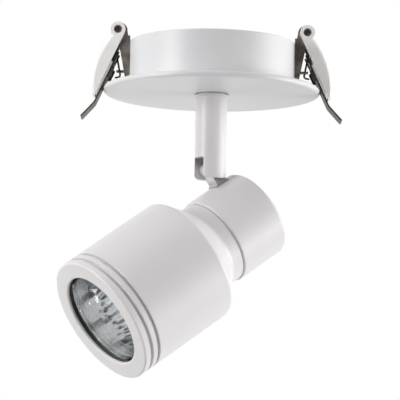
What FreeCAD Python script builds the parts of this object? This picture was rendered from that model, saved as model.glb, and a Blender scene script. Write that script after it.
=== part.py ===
import FreeCAD, Part
import math
import os

# Recessed spotlight on a swivel stem, in millimetres.
# Origin: centre of the flange's upper face, the face that meets the ceiling. +Z is up into the ceiling.
# The two spring clips stand on the X axis. The lamp head hangs below on a forked knuckle.

V = FreeCAD.Vector

# Clearances, small broken edges, and how far a cutting shape runs past a face
press_gap = 0.02
run_gap = 0.05
slip_gap = 0.1
loose_gap = 0.3
paint_gap = 0.05
edge_r = 0.3
over = 1.0

# Ceiling canopy: a flange and an open drum in one casting. The rim is the flange outside the drum
flange_t = 2.8
flange_edge_r = 1.3
drum_d = 76.8
rim_w = 11.6
flange_d = drum_d + 2 * rim_w
drum_h = 21.0
drum_wall = 1.4
floor_t = 2.2
stop_peg_d = 2.4
stop_peg_h = 1.4
floor_thread_l = 1.9

# Stem, its swivel and its fork
stem_d = 14.6
stem_corner_r = 4.6
stem_bore_d = 8.0
stem_web = 4.8
slot_w = 8.6
slot_room = 1.3
fork_past_pivot = 4.5
nipple_d = 10.0
nipple_bore_d = 6.4
nipple_in_stem = 9.0
nipple_past_nut = 2.0
nipple_chamfer = 0.5
nut_across = 14.0
nut_t = 3.5
nut_crown_d = 15.7
nut_edge_r = 0.5
stop_washer_d = 18.0
stop_washer_t = 0.8
stop_tab_w = 3.0
stop_tab_reach = 14.2
stop_tab_root = 1.0
spring_washer_t = 0.5
spring_washer_rise = 0.5
spring_washer_d = 15.6
swivel_washer_t = 1.3
swivel_washer_lip = 0.4
swivel_ring_t = 0.8
swivel_neck_in = 1.1
swivel_washer_d = stem_d + 2 * swivel_washer_lip

# Knuckle: the pivot lies across the fork
pivot_z = -37.7
pivot_d = 4.0
pivot_head_d = 6.4
pivot_head_t = 1.5
pivot_grip = 1.1
pivot_seat_t = 1.35
pivot_socket = 2.9
pivot_socket_l = 0.9
eye_r = 3.6
knuckle_washer_t = 0.4
knuckle_washer_inset = 0.4
knuckle_washer_d = 2 * (eye_r - knuckle_washer_inset)
neck_w = 5.6
neck_flare_r = 0.8
foot_w = neck_w + 2 * neck_flare_r
foot_t = 0.35
stud_d = 7.0
stud_nut_across = 11.0
stud_nut_t = 3.0
stud_past_nut = 1.2

# Lamp head. Its axis passes below the pivot. Places along it are counted from the pivot, front positive
head_turn_deg = 208.0
head_tilt_deg = 35.0
rear_d = 42.1
tongue_rise = 7.85
axis_drop = rear_d / 2 + tongue_rise
rear_wall = 1.8
rear_back_t = 2.0
rear_edge_r = 1.6
rear_lip_r = 0.9
rear_front = 17.4
pad_margin = 1.5
pad_t = 1.6
pad_w = stud_nut_across + 2 * pad_margin
pad_back_gap = 0.2
rear_end = -pad_w / 2 - pad_back_gap - rear_back_t
spigot_in = 7.0
neck_step = 0.75
neck_l = 7.2
shoulder_l = 9.8
shoulder_fillet_r = 4.0
shoulder_round_r = 2.0
barrel_wall = 1.9
groove_w = 1.6
groove_depth = 1.2
groove_edge_r = 0.25
lamp_room = 0.4
thread_wall = 1.7
ring_wall = 3.05
thread_end_gap = 0.6
bore_step_l = 4.0
bore_step_slope = 2.0
bulkhead_t = 2.0
bulkhead_hole_d = 12.0
grub_d = 3.0
grub_socket = 1.5
grub_socket_l = 1.0

# Front ring, screwed over the barrel's mouth
lip_t = 1.5
lip_lap = 2.9
ring_l = 7.5
ring_groove_from_front = 4.2
ring_edge_r = 0.9
gasket_t = 2.0
gasket_step = 0.5

# Reflector lamp with a 50 mm face and two pins 10 mm apart
lamp_d = 50.4
lamp_rim_t = 2.8
lamp_rim_step = 0.8
lamp_glass_rim = 2.0
lamp_glass_t = 1.8
bowl_l = 31.0
bowl_wall = 1.4
bowl_neck_d = 21.0
bowl_swell = 0.18
bowl_spans = 6
facet_count = 24
facet_rings = 7
facet_growth = 1.6
glass_edge_r = 0.4
lamp_base_l = 13.0
lamp_base_w = 19.0
lamp_base_d = 14.0
lamp_base_corner_r = 3.0
lamp_collar_l = 5.0
lamp_pin_pitch = 10.0
lamp_pin_d = 3.0
lamp_pin_head_d = 5.0
lamp_pin_head_l = 2.0
lamp_pin_l = 7.5
lamp_pin_in = 2.0
capsule_d = 10.5
capsule_l = 17.0
capsule_tip_r = 4.0

# Lampholder and its bracket inside the barrel
holder_rise = 4.3
holder_l = 15.6
holder_w = 29.0
holder_h = 18.0
holder_corner_r = 5.0
holder_bracket_t = 1.0
holder_bracket_w = 16.0
strap_end = 4.0
strap_bend_r = 0.6
holder_screw_pitch = 20.0
holder_screw_d = 3.0
holder_head_d = 5.1
holder_well_room = 0.4
contact_t = 0.5
contact_w = 4.0
contact_l = 5.0

# Terminal block and earth screw on the canopy's floor
block_w = 22.0
block_l = 16.0
block_foot_r = 0.5
block_top_r = 2.0
block_seat_h = 5.0
block_from_tab = 0.8
pole_pitch = 13.0
tube_d = 5.0
tube_bore_d = 3.2
tube_h = 4.5
tube_inset = 1.0
clamp_screw_d = 2.6
clamp_screw_gap = 6.0
clamp_head_d = 3.4
clamp_head_t = 0.8
clamp_sink = 1.0
clamp_rise = 1.2
block_screw_d = 3.0
earth_place = (-18.0, -16.0)
earth_screw_d = 4.0
earth_head_d = 7.6
earth_head_t = 2.1
block_head_d = 5.7
screw_head_t = 1.6
slot_cut = 0.7

# Spring clip, drawn for the +X side. The arm is measured along itself from the pin
pin_d = 3.8
pin_sink = 0.4
pin_rim = 0.4
pin_dimple_l = 2.4
eye_wall = 1.55
eye_back_gap = 0.85
eye_rise = 1.45
cover_side_t = 1.25
cover_web_t = 1.2
cover_past_rim = 5.0
cover_bulge = 2.75
cover_root = 0.9
cover_root_round_r = 2.2
cover_end_round_r = 0.9
rail_h = 1.0
cover_web_gap = 1.15
cover_end_w = 1.2
strip_side_gap = 0.45
strip_t = 0.7
strip_step = 1.025
strip_above_rim = 12.2
bend_past_rim = 8.2
strip_bend_deg = 18.0
strip_bend_r = 6.0
strip_tip_l = 9.0
fork_l = 5.4
fork_side_gap = 0.6
wing_inset = 1.4
wing_l = 6.6
wing_h = 1.2
wing_slope = 0.8
wing_corner_r = 0.4
ear_t = 1.0
ear_side_gap = 0.35
ear_past_eye = 0.35
ear_shift_in = 0.6
ear_shift_down = 0.4
plate_t = 1.0
bracket_foot_drop = 1.26
bracket_above_drum = 2.2
ear_foot_w = 0.9
ear_waist_drop = 7.0
ear_waist_in = 0.7
ear_waist_r = 3.0
ear_corner_r = 0.5
leg_tab_rise = 0.94
leg_tab_t = 0.8
leg_tab_past = 1.32
leg_tab_w = 3.6
rivet_d = 2.4
rivet_head_d = 4.4
rivet_head_t = 0.8
rivet_tail_d = 3.5
rivet_from_top = 4.0
rivet_pitch = 6.0
spring_wire_d = 0.9
spring_turns = 4
spring_pitch = 1.55
spring_gap = 0.25
coil_side_gap = 1.67
fixed_leg_deg = 11.0
fixed_leg_l = 19.5
moving_leg_lap = 3.4
hook_r = 1.1
hook_l = 1.2


def rounded_face(corners, place):
    """Face inside a closed outline. Each corner is (u, v, radius) and a radius rounds it with an arc.
    place turns (u, v) into a point in space."""
    count = len(corners)
    starts = []
    ends = []
    mids = []
    for i in range(count):
        u, v, radius = corners[i]
        here = V(u, v, 0)
        before = V(corners[i - 1][0], corners[i - 1][1], 0) - here
        after = V(corners[(i + 1) % count][0], corners[(i + 1) % count][1], 0) - here
        before.normalize()
        after.normalize()
        if radius <= 0:
            starts.append(here)
            ends.append(here)
            mids.append(None)
            continue
        half = before.getAngle(after) / 2
        cut = radius / math.tan(half)
        inward = before + after
        inward.normalize()
        centre = here + inward * (radius / math.sin(half))
        starts.append(here + before * cut)
        ends.append(here + after * cut)
        mids.append(centre - inward * radius)
    edges = []
    for i in range(count):
        if mids[i] is not None:
            arc = [place(p.x, p.y) for p in (starts[i], mids[i], ends[i])]
            edges.append(Part.Arc(*arc).toShape())
        nxt = (i + 1) % count
        if (starts[nxt] - ends[i]).Length > 1e-6:
            line = Part.LineSegment(place(ends[i].x, ends[i].y), place(starts[nxt].x, starts[nxt].y))
            edges.append(line.toShape())
    return Part.Face(Part.Wire(edges))


def turned_z(corners):
    """Solid of revolution about Z. Corners are (radius from the axis, height, corner radius)."""
    face = rounded_face(corners, lambda u, v: V(u, 0, v))
    return face.revolve(V(0, 0, 0), V(0, 0, 1), 360)


def turned_x(corners):
    """Solid of revolution about X. Corners are (place along X, radius from the axis, corner radius)."""
    face = rounded_face(corners, lambda u, v: V(u, 0, v))
    return face.revolve(V(0, 0, 0), V(1, 0, 0), 360)


def tube_z(outer_d, inner_d, low, high):
    """Plain ring or tube about Z."""
    ring = Part.makeCylinder(outer_d / 2, high - low, V(0, 0, low))
    return ring.cut(Part.makeCylinder(inner_d / 2, high - low, V(0, 0, low)))


def hexagon_z(across, low, high):
    """Hexagonal bar about Z, measured across its flats."""
    corner = across / math.sqrt(3)
    points = [V(corner * math.cos(math.radians(60 * i)), corner * math.sin(math.radians(60 * i)), low)
              for i in range(7)]
    return Part.Face(Part.makePolygon(points)).extrude(V(0, 0, high - low))


def screw_z(diameter, length, head_d, head_t):
    """Slotted cheese-head screw that points down from z 0, with its head above."""
    body = Part.makeCylinder(diameter / 2, length, V(0, 0, -length))
    head = Part.makeCylinder(head_d / 2, head_t)
    head = head.makeFillet(head_t * 0.35, [head.Edges[0]])
    slot = Part.makeBox(head_d * 1.2, slot_cut, head_t, V(-head_d * 0.6, -slot_cut / 2, head_t * 0.5))
    return body.fuse(head).cut(slot).removeSplitter()


def moved(shape, placement):
    """Copy of a shape at a placement."""
    copy = shape.copy()
    copy.Placement = placement.multiply(copy.Placement)
    return copy


def at(x, y, z):
    """Placement that only shifts."""
    return FreeCAD.Placement(V(x, y, z), FreeCAD.Rotation())


def group(solids):
    """Several separate solids in one node."""
    return Part.makeCompound(solids)


os.makedirs("parts", exist_ok=True)
nodes = {}

# Canopy. The floor lies a little below the seat, so that only the flange's ring meets the ceiling
drum_r = drum_d / 2
floor_top = floor_t - flange_t
bore_r = nipple_d / 2 + 3 * run_gap
peg_place = (stop_washer_d / 2 + stop_tab_reach) / 2 + stop_peg_d / 4
canopy = turned_z([
    (bore_r, -flange_t, 0), (flange_d / 2, -flange_t, flange_edge_r), (flange_d / 2, 0, flange_edge_r),
    (drum_r, 0, drum_wall / 2), (drum_r, drum_h, drum_wall / 3), (drum_r - drum_wall, drum_h, drum_wall / 3),
    (drum_r - drum_wall, floor_top, drum_wall / 2), (bore_r, floor_top, 0)])
head_dir = V(math.cos(math.radians(head_turn_deg)), math.sin(math.radians(head_turn_deg)), 0)
peg = Part.makeCylinder(stop_peg_d / 2, stop_peg_h, head_dir * -peg_place + V(0, 0, floor_top))
block_y = stop_tab_reach + block_from_tab + block_l / 2
earth_hole = Part.makeCylinder(earth_screw_d / 2 + paint_gap, floor_thread_l,
                               V(earth_place[0], earth_place[1], floor_top - floor_thread_l))
block_hole = Part.makeCylinder(block_screw_d / 2 + paint_gap, floor_thread_l,
                               V(0, block_y, floor_top - floor_thread_l))
canopy = canopy.fuse(peg).cut(earth_hole).cut(block_hole)

# Swivel: washer under the flange, hollow nipple, stop washer, cupped spring washer and nut
stem_top = -flange_t - swivel_washer_t
washer_r = swivel_washer_d / 2
washer_bore_r = nipple_d / 2 + slip_gap
ring_top = stem_top + swivel_ring_t
nodes["swivel_washer"] = turned_z([
    (washer_bore_r, stem_top, 0), (washer_r, stem_top, edge_r), (washer_r, ring_top, edge_r),
    (washer_r - swivel_neck_in, ring_top, 0), (washer_r - swivel_neck_in, -flange_t, 0),
    (washer_bore_r, -flange_t, 0)])
washer_z = floor_top
spring_z = washer_z + stop_washer_t
nut_z = spring_z + spring_washer_t + spring_washer_rise
nipple_top = nut_z + nut_t + nipple_past_nut
nipple = tube_z(nipple_d, nipple_bore_d, stem_top - nipple_in_stem, nipple_top)
nipple_rims = [edge for edge in nipple.Edges if isinstance(edge.Curve, Part.Circle)
               and edge.Curve.Radius > nipple_bore_d / 2 + over]
nodes["stem_nipple"] = nipple.makeChamfer(nipple_chamfer, nipple_rims)
stop_washer = tube_z(stop_washer_d, nipple_d + 2 * slip_gap, washer_z, spring_z)
tab_from = stop_washer_d / 2 - stop_tab_root
tab = Part.makeBox(stop_tab_reach - tab_from, stop_tab_w, stop_washer_t,
                   V(tab_from, -stop_tab_w / 2, washer_z))
tab = moved(tab, FreeCAD.Placement(V(), FreeCAD.Rotation(V(0, 0, 1), head_turn_deg)))
nodes["stop_washer"] = stop_washer.fuse(tab).removeSplitter()
cup_in = nipple_d / 2 + slip_gap
cup_out = spring_washer_d / 2
nodes["spring_washer"] = turned_z([
    (cup_in, spring_z + spring_washer_rise, 0), (cup_out, spring_z, 0),
    (cup_out, spring_z + spring_washer_t, 0), (cup_in, nut_z, 0)])
nut = hexagon_z(nut_across, nut_z, nut_z + nut_t)
nut_crown = turned_z([(0, nut_z, 0), (nut_crown_d / 2, nut_z, nut_edge_r),
                      (nut_crown_d / 2, nut_z + nut_t, nut_edge_r), (0, nut_z + nut_t, 0)])
nut_bore = Part.makeCylinder(nipple_d / 2 + run_gap, nut_t, V(0, 0, nut_z))
nodes["stem_nut"] = nut.common(nut_crown).cut(nut_bore)

# Stem: a turned bar, bored from the top, with a slotted and rounded foot
stem_r = stem_d / 2
stem_end_z = pivot_z - fork_past_pivot
slot_top_z = pivot_z + eye_r + slot_room
stem_bore_end_z = slot_top_z + stem_web
to_head = FreeCAD.Rotation(V(0, 0, 1), head_turn_deg)
stem = turned_z([(0, stem_end_z, 0), (stem_r, stem_end_z, 0), (stem_r, stem_top, edge_r), (0, stem_top, 0)])
stem = stem.cut(Part.makeCylinder(stem_bore_d / 2, stem_top - stem_bore_end_z, V(0, 0, stem_bore_end_z)))
stem = stem.cut(Part.makeCylinder(nipple_d / 2 + run_gap, nipple_in_stem + slip_gap,
                                  V(0, 0, stem_top - nipple_in_stem - slip_gap)))
foot_shape = rounded_face([
    (-stem_r - over, stem_top + over, 0), (-stem_r, stem_end_z, stem_corner_r),
    (stem_r, stem_end_z, stem_corner_r), (stem_r + over, stem_top + over, 0)],
    lambda u, v: V(u, -stem_r, v)).extrude(V(0, stem_d, 0))
slot = rounded_face([
    (-stem_d, stem_end_z - over, 0), (stem_d, stem_end_z - over, 0),
    (stem_d, slot_top_z, 0), (-stem_d, slot_top_z, 0)],
    lambda u, v: V(u, -slot_w / 2, v)).extrude(V(0, slot_w, 0))
pivot_seat = -slot_w / 2 - pivot_seat_t
pivot_reach = slot_w / 2 + pivot_grip
pivot_bore = Part.makeCylinder(pivot_d / 2 + run_gap, pivot_reach + slip_gap - pivot_seat,
                               V(0, pivot_seat, pivot_z), V(0, 1, 0))
head_well = Part.makeCylinder(pivot_head_d / 2 + slip_gap, stem_r, V(0, pivot_seat, pivot_z), V(0, -1, 0))
stem = stem.common(foot_shape).cut(slot).cut(pivot_bore).cut(head_well)
turn = FreeCAD.Placement(V(), to_head)
nodes["stem_tube"] = moved(stem, turn)

# Pivot screw with a socket head, put in from the far side into a blind thread
shank = Part.makeCylinder(pivot_d / 2, pivot_reach - pivot_seat, V(0, pivot_seat, pivot_z), V(0, 1, 0))
cap = Part.makeCylinder(pivot_head_d / 2, pivot_head_t, V(0, pivot_seat - pivot_head_t, pivot_z), V(0, 1, 0))
socket = moved(hexagon_z(pivot_socket, 0, pivot_socket_l),
               FreeCAD.Placement(V(0, pivot_seat - pivot_head_t, pivot_z), FreeCAD.Rotation(V(1, 0, 0), -90)))
nodes["pivot_screw"] = moved(shank.fuse(cap).cut(socket).removeSplitter(), turn)
washers = []
for side in (-1, 1):
    disc = tube_z(knuckle_washer_d, pivot_d + 2 * slip_gap, 0, knuckle_washer_t)
    low = -slot_w / 2 if side < 0 else slot_w / 2 - knuckle_washer_t
    washers.append(moved(disc, FreeCAD.Placement(V(0, low, pivot_z), FreeCAD.Rotation(V(1, 0, 0), -90))))
nodes["knuckle_washers"] = moved(group(washers), turn)

# Head. Every piece below is drawn along X with the pivot at the origin, then hung on the pivot
head_place = FreeCAD.Placement(V(0, 0, pivot_z), to_head * FreeCAD.Rotation(V(0, 1, 0), head_tilt_deg))
on_axis = at(0, 0, -axis_drop)


def hang(name, shape):
    """Puts a piece drawn on the head's own axis into its place on the object."""
    nodes[name] = moved(moved(shape, on_axis), head_place)


# Knuckle tongue: a rounded eye, a neck that flares into a foot, and a stud through the housing's wall
rear_r = rear_d / 2
tongue_t = slot_w - 2 * knuckle_washer_t - 2 * run_gap
saddle_z = axis_drop - rear_r
foot_z = saddle_z - foot_t
neck = rounded_face([
    (-neck_w / 2, 0, 0), (-neck_w / 2, -foot_z, neck_flare_r), (-foot_w / 2, -foot_z, 0),
    (-foot_w / 2, -saddle_z - 2 * over, 0), (foot_w / 2, -saddle_z - 2 * over, 0), (foot_w / 2, -foot_z, 0),
    (neck_w / 2, -foot_z, neck_flare_r), (neck_w / 2, 0, 0)],
    lambda u, v: V(u, -tongue_t / 2, v)).extrude(V(0, tongue_t, 0))
eye = Part.makeCylinder(eye_r, tongue_t, V(0, -tongue_t / 2, 0), V(0, 1, 0))
saddle = Part.makeCylinder(rear_r + paint_gap, rear_d, V(-rear_r, 0, -axis_drop), V(1, 0, 0))
tongue = neck.fuse(eye).cut(saddle)
pad_z = saddle_z + rear_wall + pad_t
stud_low = pad_z + stud_nut_t + stud_past_nut
stud = Part.makeCylinder(stud_d / 2, stud_low - foot_z, V(0, 0, -stud_low))
eye_bore = Part.makeCylinder(pivot_d / 2 + run_gap, slot_w, V(0, -slot_w / 2, 0), V(0, 1, 0))
tongue = tongue.fuse(stud).cut(eye_bore)
nodes["knuckle_tongue"] = moved(tongue.removeSplitter(), head_place)
stud_nut = hexagon_z(stud_nut_across, -pad_z - stud_nut_t, -pad_z)
stud_nut = stud_nut.cut(Part.makeCylinder(stud_d / 2 + run_gap, stud_nut_t, V(0, 0, -pad_z - stud_nut_t)))
nodes["tongue_nut"] = moved(stud_nut, head_place)

# Rear housing: a cup with a flat pad inside for the tongue's nut
rear_in_r = rear_r - rear_wall
rear = turned_x([
    (rear_end, 0, 0), (rear_end, rear_r, rear_edge_r), (rear_front, rear_r, rear_lip_r),
    (rear_front, rear_in_r, 0),
    (rear_end + rear_back_t, rear_in_r, rear_edge_r / 2), (rear_end + rear_back_t, 0, 0)])
pad = Part.makeBox(pad_w, pad_w, rear_wall / 2 + pad_t + rear_r, V(-pad_w / 2, -pad_w / 2, axis_drop - pad_z))
pad = pad.common(Part.makeCylinder(rear_r - rear_wall / 2, pad_w, V(-pad_w / 2, 0, 0), V(1, 0, 0)))
stud_hole = Part.makeCylinder(stud_d / 2 + slip_gap, rear_r, V(0, 0, axis_drop - pad_z - over))
rear = rear.fuse(pad).removeSplitter().cut(stud_hole)
grub_x = rear_front - spigot_in / 2
spigot_r = rear_in_r - slip_gap
grubs = []
for around in (180, 270):
    aim = FreeCAD.Rotation(V(1, 0, 0), -around)
    hole = Part.makeCylinder(grub_d / 2 + run_gap, rear_r, V(0, 0, rear_in_r - over))
    rear = rear.cut(moved(hole, FreeCAD.Placement(V(grub_x, 0, 0), aim)))
    grub = Part.makeCylinder(grub_d / 2, rear_r - edge_r - spigot_r, V(0, 0, spigot_r))
    grub = grub.cut(hexagon_z(grub_socket, rear_r - edge_r - grub_socket_l, rear_r))
    grubs.append(moved(grub, FreeCAD.Placement(V(grub_x, 0, 0), aim)))
hang("rear_housing", rear)
hang("housing_screws", group(grubs))

# Places along the head from the back: bulkhead, holder, lamp, gasket and the ring's lip sit one on the other
bulkhead_front = rear_front + bulkhead_t
seat_back = bulkhead_front + holder_rise
holder_front = seat_back + holder_l
base_back = holder_front + slip_gap
base_front = base_back + lamp_base_l
bowl_back = base_front + paint_gap
lamp_face = bowl_back + bowl_l
lip_back = lamp_face + run_gap + gasket_t
ring_front = lip_back + lip_t
ring_back = ring_front - ring_l

# Radii from the lamp outwards
lamp_r = lamp_d / 2
lamp_bore_r = lamp_r + lamp_room
thread_r = lamp_bore_r + thread_wall
barrel_r = thread_r + ring_wall

# Front barrel: spigot, neck, coned shoulder, long tube, groove and the thread for the ring
wall = barrel_wall
neck_r = rear_r - neck_step
neck_end = rear_front + neck_l
barrel_start = neck_end + shoulder_l
cone_shift = wall * math.tan(math.atan2(barrel_r - neck_r, shoulder_l) / 2)
barrel_end = ring_back - groove_w
thread_end = lip_back - thread_end_gap
barrel = turned_x([
    (rear_front - spigot_in, spigot_r, edge_r), (rear_front, spigot_r, 0), (rear_front, neck_r, edge_r),
    (neck_end, neck_r, shoulder_fillet_r), (barrel_start, barrel_r, shoulder_round_r),
    (barrel_end, barrel_r, edge_r),
    (barrel_end, barrel_r - groove_depth, 0), (ring_back, barrel_r - groove_depth, 0),
    (ring_back, thread_r, 0), (thread_end, thread_r, edge_r), (thread_end, lamp_bore_r, edge_r),
    (ring_back - bore_step_l, lamp_bore_r, 0),
    (ring_back - bore_step_l - bore_step_slope, barrel_r - wall, 0),
    (barrel_start + cone_shift, barrel_r - wall, 0),
    (neck_end + cone_shift, neck_r - wall, shoulder_fillet_r + wall), (bulkhead_front, neck_r - wall, 0),
    (bulkhead_front, bulkhead_hole_d / 2, 0), (rear_front, bulkhead_hole_d / 2, 0),
    (rear_front, spigot_r - wall, 0), (rear_front - spigot_in, spigot_r - wall, edge_r)])
for side in (-1, 1):
    thread = Part.makeCylinder(holder_screw_d / 2 + run_gap, bulkhead_t,
                               V(rear_front, side * holder_screw_pitch / 2, 0), V(1, 0, 0))
    barrel = barrel.cut(thread)
hang("front_barrel", barrel)

# Front ring: a turned cap with a lip, screwed over the barrel's thread, and its gasket
mouth_r = lamp_r - lip_lap
ring_in_r = thread_r + loose_gap
groove_r = barrel_r - groove_depth
ring_groove = ring_front - ring_groove_from_front
groove_from = ring_groove - groove_w / 2
groove_to = ring_groove + groove_w / 2
ring = turned_x([
    (ring_back, ring_in_r, 0), (ring_back, barrel_r, edge_r),
    (groove_from, barrel_r, groove_edge_r), (groove_from, groove_r, groove_edge_r),
    (groove_to, groove_r, groove_edge_r), (groove_to, barrel_r, groove_edge_r),
    (ring_front, barrel_r, ring_edge_r), (ring_front, mouth_r, ring_edge_r), (lip_back, mouth_r, edge_r),
    (lip_back, ring_in_r, 0)])
hang("front_ring", ring)
gasket_in_r = mouth_r + gasket_step
gasket_out_r = lamp_bore_r - 2 * loose_gap
gasket = turned_x([
    (lip_back - gasket_t, gasket_in_r, edge_r), (lip_back - gasket_t, gasket_out_r, edge_r),
    (lip_back, gasket_out_r, 0), (lip_back, gasket_in_r, 0)])
hang("ring_gasket", gasket)

# Lamp reflector: a pressed glass bowl with rings of flat facets inside
rim_back = lamp_face - lamp_rim_t
bowl_front_r = lamp_r - lamp_rim_step
bowl_r = bowl_neck_d / 2


def bowl_radius(along):
    """Radius of the bowl at a place along the axis, from the neck to the rim: an ellipse-like swell."""
    t = (along - bowl_back) / (rim_back - bowl_back)
    return bowl_r + (bowl_front_r - bowl_r) * math.sqrt(max(t, 0.0)) * (1 + bowl_swell - bowl_swell * t)


def polygon_x(along, radius):
    """Regular polygon wire across the X axis."""
    points = []
    for i in range(facet_count + 1):
        a = math.radians(360.0 * i / facet_count)
        points.append(V(along, radius * math.cos(a), radius * math.sin(a)))
    return Part.makePolygon(points)


glass_seat = lamp_face - lamp_glass_t - slip_gap
glass_r = lamp_r - lamp_glass_rim
outer_steps = [bowl_back + (rim_back - bowl_back) * (i / bowl_spans) ** 2 for i in range(bowl_spans + 1)]
outer_curve = Part.BSplineCurve()
outer_curve.interpolate([V(x, 0, bowl_radius(x)) for x in outer_steps])
outer_edges = [
    Part.LineSegment(V(bowl_back, 0, 0), V(bowl_back, 0, bowl_r)).toShape(), outer_curve.toShape(),
    Part.LineSegment(V(rim_back, 0, bowl_front_r), V(rim_back, 0, lamp_r)).toShape(),
    Part.LineSegment(V(rim_back, 0, lamp_r), V(lamp_face, 0, lamp_r)).toShape(),
    Part.LineSegment(V(lamp_face, 0, lamp_r), V(lamp_face, 0, 0)).toShape(),
    Part.LineSegment(V(lamp_face, 0, 0), V(bowl_back, 0, 0)).toShape()]
bowl = Part.Face(Part.Wire(outer_edges)).revolve(V(0, 0, 0), V(1, 0, 0), 360)
facet_from = bowl_back + bowl_wall * 2
facet_steps = [facet_from + (glass_seat - facet_from) * (i / facet_rings) ** facet_growth
               for i in range(facet_rings + 1)]
facet_wires = [polygon_x(x, bowl_radius(x - bowl_wall / 2) - bowl_wall) for x in facet_steps]
hollow = Part.makeLoft(facet_wires, True, True)
glass_recess = Part.makeCylinder(glass_r + slip_gap, lamp_glass_t + slip_gap, V(glass_seat, 0, 0), V(1, 0, 0))
neck_hole_r = capsule_d / 2 + slip_gap
neck_hole = Part.makeCylinder(neck_hole_r, bowl_wall * 4, V(bowl_back, 0, 0), V(1, 0, 0))
hang("lamp_reflector", bowl.cut(hollow).cut(glass_recess).cut(neck_hole))
glass = Part.makeCylinder(glass_r, lamp_glass_t, V(glass_seat + slip_gap / 2, 0, 0), V(1, 0, 0))
hang("lamp_front_glass", glass.makeFillet(glass_edge_r, [glass.Edges[0]]))

# Lamp capsule: a quartz tube with a domed nose, standing in the bowl's neck
capsule_r = capsule_d / 2
capsule_from = base_front + slip_gap
capsule = turned_x([
    (capsule_from, 0, 0), (capsule_from, capsule_r, edge_r),
    (capsule_from + capsule_l, capsule_r, capsule_tip_r), (capsule_from + capsule_l, 0, 0)])
hang("lamp_capsule", capsule)

# Lamp base: a ceramic block that narrows towards its two headed pins
half_w = lamp_base_w / 2
half_d = lamp_base_d / 2
lamp_base = rounded_face([
    (-half_w, -half_d, lamp_base_corner_r), (half_w, -half_d, lamp_base_corner_r),
    (half_w, half_d, lamp_base_corner_r), (-half_w, half_d, lamp_base_corner_r)],
    lambda u, v: V(base_back, u, v)).extrude(V(lamp_base_l - lamp_collar_l, 0, 0))
collar = Part.makeCylinder(bowl_r, lamp_collar_l, V(base_front - lamp_collar_l, 0, 0), V(1, 0, 0))
lamp_base = lamp_base.fuse(collar).removeSplitter()
lamp_pins = []
for side in (-1, 1):
    y = side * lamp_pin_pitch / 2
    socket = Part.makeCylinder(lamp_pin_d / 2 + run_gap, lamp_pin_in, V(base_back, y, 0), V(1, 0, 0))
    lamp_base = lamp_base.cut(socket)
    pin_tip = V(base_back - lamp_pin_l, y, 0)
    stalk = Part.makeCylinder(lamp_pin_d / 2, lamp_pin_l + lamp_pin_in, pin_tip, V(1, 0, 0))
    knob = Part.makeCylinder(lamp_pin_head_d / 2, lamp_pin_head_l, pin_tip, V(1, 0, 0))
    lamp_pins.append(stalk.fuse(knob).removeSplitter())
hang("lamp_base", lamp_base)
hang("lamp_pins", group(lamp_pins))

# Lampholder: a ceramic block with two pin wells, screwed through its bracket to the bulkhead
bracket_back = bulkhead_front
holder_back = bracket_back + holder_bracket_t
half_w = holder_w / 2
half_h = holder_h / 2
holder = rounded_face([
    (-half_w, -half_h, holder_corner_r), (half_w, -half_h, holder_corner_r),
    (half_w, half_h, holder_corner_r), (-half_w, half_h, holder_corner_r)],
    lambda u, v: V(seat_back, u, v)).extrude(V(holder_l, 0, 0))
well_l = lamp_pin_l + contact_t + 2 * slip_gap
well_back = holder_front - well_l
well_r = lamp_pin_head_d / 2 + holder_well_room
half_c = contact_w / 2
contacts = []
for side in (-1, 1):
    y = side * lamp_pin_pitch / 2
    holder = holder.cut(Part.makeCylinder(well_r, well_l, V(well_back, y, 0), V(1, 0, 0)))
    leaf = rounded_face([(-half_c, -half_c, half_c / 2), (half_c, -half_c, half_c / 2),
                         (half_c, half_c, half_c / 2), (-half_c, half_c, half_c / 2)],
                        lambda u, v: V(well_back, y + u, v)).extrude(V(contact_t, 0, 0))
    tail = Part.makeBox(contact_l, half_c, contact_t,
                        V(well_back - contact_l, y - half_c / 2, -contact_t / 2))
    tail_slot = Part.makeBox(holder_l, half_c + 2 * paint_gap, contact_t + 2 * paint_gap,
                             V(well_back - holder_l, y - half_c / 2 - paint_gap, -contact_t / 2 - paint_gap))
    holder = holder.cut(tail_slot)
    contacts.append(leaf.fuse(tail).removeSplitter())
hang("lampholder", holder)
hang("holder_contacts", group(contacts))

# Holder bracket: a flat strap with a raised seat under the holder
strap_half = holder_screw_pitch / 2 + strap_end
bracket_t = holder_bracket_t
riser_out = (holder_screw_pitch - holder_head_d) / 2 - strap_bend_r - slip_gap
riser_in = riser_out - bracket_t
seat_low = seat_back - bracket_t
strap = rounded_face([
    (-strap_half, bracket_back, 0), (-riser_in, bracket_back, strap_bend_r),
    (-riser_in, seat_low, strap_bend_r), (riser_in, seat_low, strap_bend_r),
    (riser_in, bracket_back, strap_bend_r), (strap_half, bracket_back, 0),
    (strap_half, holder_back, 0), (riser_out, holder_back, strap_bend_r),
    (riser_out, seat_back, strap_bend_r), (-riser_out, seat_back, strap_bend_r),
    (-riser_out, holder_back, strap_bend_r), (-strap_half, holder_back, 0)],
    lambda u, v: V(v, u, -holder_bracket_w / 2)).extrude(V(0, 0, holder_bracket_w))
lead_hole = Part.makeBox(bracket_t * 4, lamp_pin_pitch + contact_w, contact_w,
                         V(seat_back - bracket_t * 2, -(lamp_pin_pitch + contact_w) / 2, -contact_w / 2))
strap = strap.cut(lead_hole)
bracket_screws = []
for side in (-1, 1):
    y = side * holder_screw_pitch / 2
    hole = Part.makeCylinder(holder_screw_d / 2 + slip_gap, bracket_t, V(bracket_back, y, 0), V(1, 0, 0))
    strap = strap.cut(hole)
    screw = screw_z(holder_screw_d, bulkhead_t + bracket_t, holder_head_d, screw_head_t)
    facing = FreeCAD.Placement(V(holder_back, y, 0), FreeCAD.Rotation(V(0, 1, 0), 90))
    bracket_screws.append(moved(screw, facing))
hang("holder_bracket", strap)
hang("bracket_screws", group(bracket_screws))

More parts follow.
